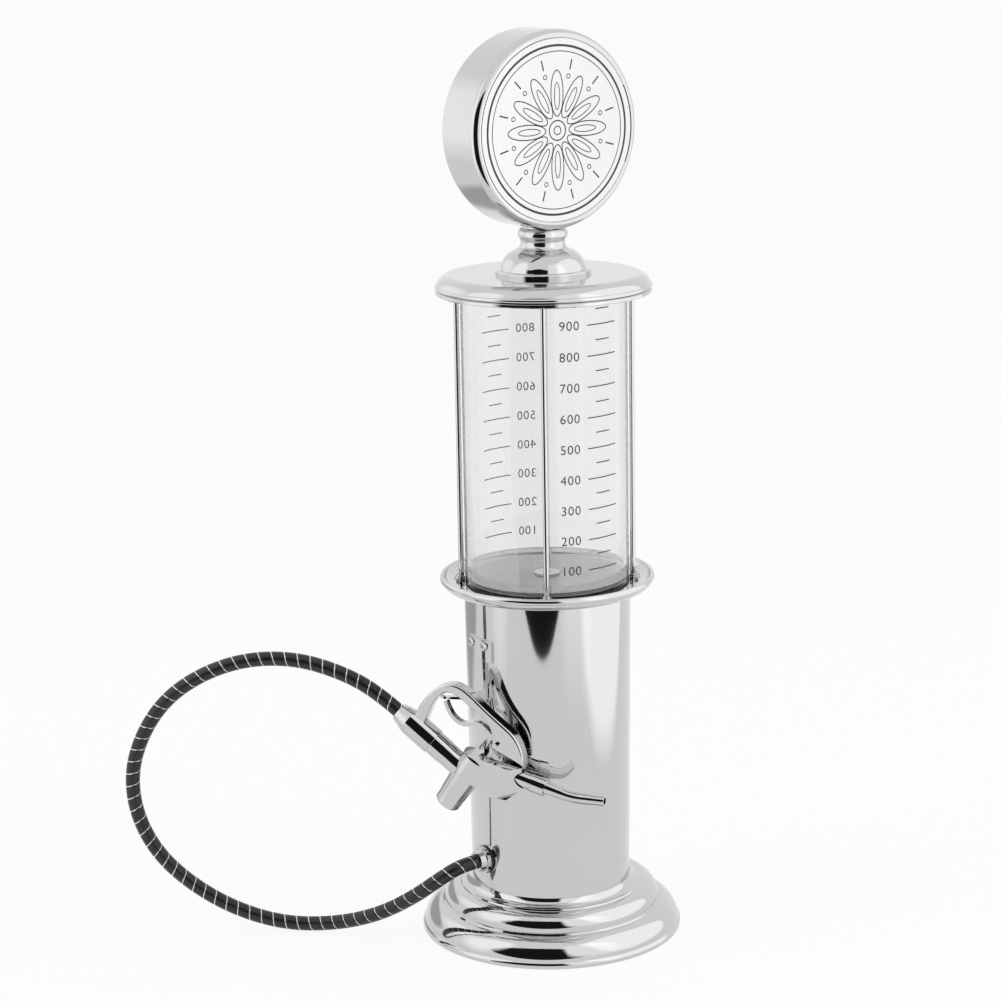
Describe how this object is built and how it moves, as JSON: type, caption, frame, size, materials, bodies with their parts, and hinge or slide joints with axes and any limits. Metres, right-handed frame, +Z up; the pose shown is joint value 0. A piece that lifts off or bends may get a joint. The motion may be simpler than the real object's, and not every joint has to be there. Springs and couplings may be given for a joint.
{
  "type": "cocktail dispenser",
  "caption": "Tabletop drinks dispenser in the style of an old petrol pump: clear graduated tank on a chrome column, lift-off lid with a round head, hose and hand nozzle.",
  "frame": {"origin": "centre of the underside of the foot, on the surface that the dispenser stands on", "axes": "+Z up the column, the engraved face of the round head looks towards -Y, the hook, gland and hose are on the -X side"},
  "size_m": [0.2744, 0.2039, 0.5009],
  "materials": {
    "chrome": "mirror polished plate",
    "rubber": "matt",
    "zinc_steel": "satin",
    "clear_acrylic": "clear",
    "white_plastic": "matt",
    "steel_disc": "polished",
    "black_hose": "satin, with a fine bright line between the bands"
  },
  "bodies": {
    "stand": {"base_foot": "chrome", "base_pad": "rubber", "ballast_plate": "zinc_steel", "base_screws": "zinc_steel", "column": "chrome", "column_ring": "zinc_steel", "hanger": "chrome", "hanger_screws": "chrome", "hanger_nuts": "zinc_steel", "collar": "chrome", "tank_floor": "steel_disc", "tank_gasket": "rubber", "tank_tube": "clear_acrylic", "top_gasket": "rubber", "top_ring": "chrome", "tie_rod_1": "chrome", "tie_rod_2": "chrome", "tie_rod_3": "chrome", "tie_rod_4": "chrome", "rod_feet": "chrome", "rod_nuts": "zinc_steel", "outlet_fitting": "zinc_steel", "outlet_gasket": "rubber", "outlet_nut": "zinc_steel", "feed_tube": "white_plastic", "hose_gland": "chrome", "gland_washers": "rubber", "gland_nut": "zinc_steel", "hose": "black_hose"},
    "lid": {"lid_cap": "chrome", "lid_insert": "white_plastic", "neck": "chrome", "head_front_shell": "chrome", "head_back_shell": "chrome", "head_disc": "chrome", "head_stud": "zinc_steel", "stud_nuts": "zinc_steel"},
    "gun": {"gun_body": "chrome", "trigger_pin": "chrome", "hose_ferrule": "chrome", "valve_cap": "chrome", "valve_seat": "rubber", "valve_spring": "zinc_steel", "spout_nut": "chrome", "spout_tube": "chrome", "spout_tip": "chrome"},
    "trigger": {"trigger": "chrome"},
    "valve": {"valve_stem": "chrome"}
  },
  "joints": [
    {"name": "lid_lift", "type": "slide", "parent": "stand", "child": "lid", "axis": [0, 0, 1], "range_m": [0, 0.06]},
    {"name": "gun_unhook", "type": "slide", "parent": "stand", "child": "gun", "axis": [-0.9781, 0, 0.2079], "range_m": [0, 0.03], "deforming": ["hose"]},
    {"name": "trigger_squeeze", "type": "hinge", "parent": "gun", "child": "trigger", "pos_m": [-0.04981, -0.02362, 0.12168], "axis": [-0.829, -0.5592, 0], "range_deg": [0, 16], "stiffness_Nm_per_rad": 0.002, "springref_deg": -20.05},
    {"name": "valve_travel", "type": "slide", "parent": "gun", "child": "valve", "axis": [-0.3127, 0.4636, -0.829], "range_m": [0, 0.0015], "stiffness_N_per_m": 2, "springref_m": -0.01, "deforming": ["valve_spring"]}
  ],
  "couplings": [
    {"joint": "valve_travel", "follows": "trigger_squeeze", "m_per_rad": 0.005}
  ]
}
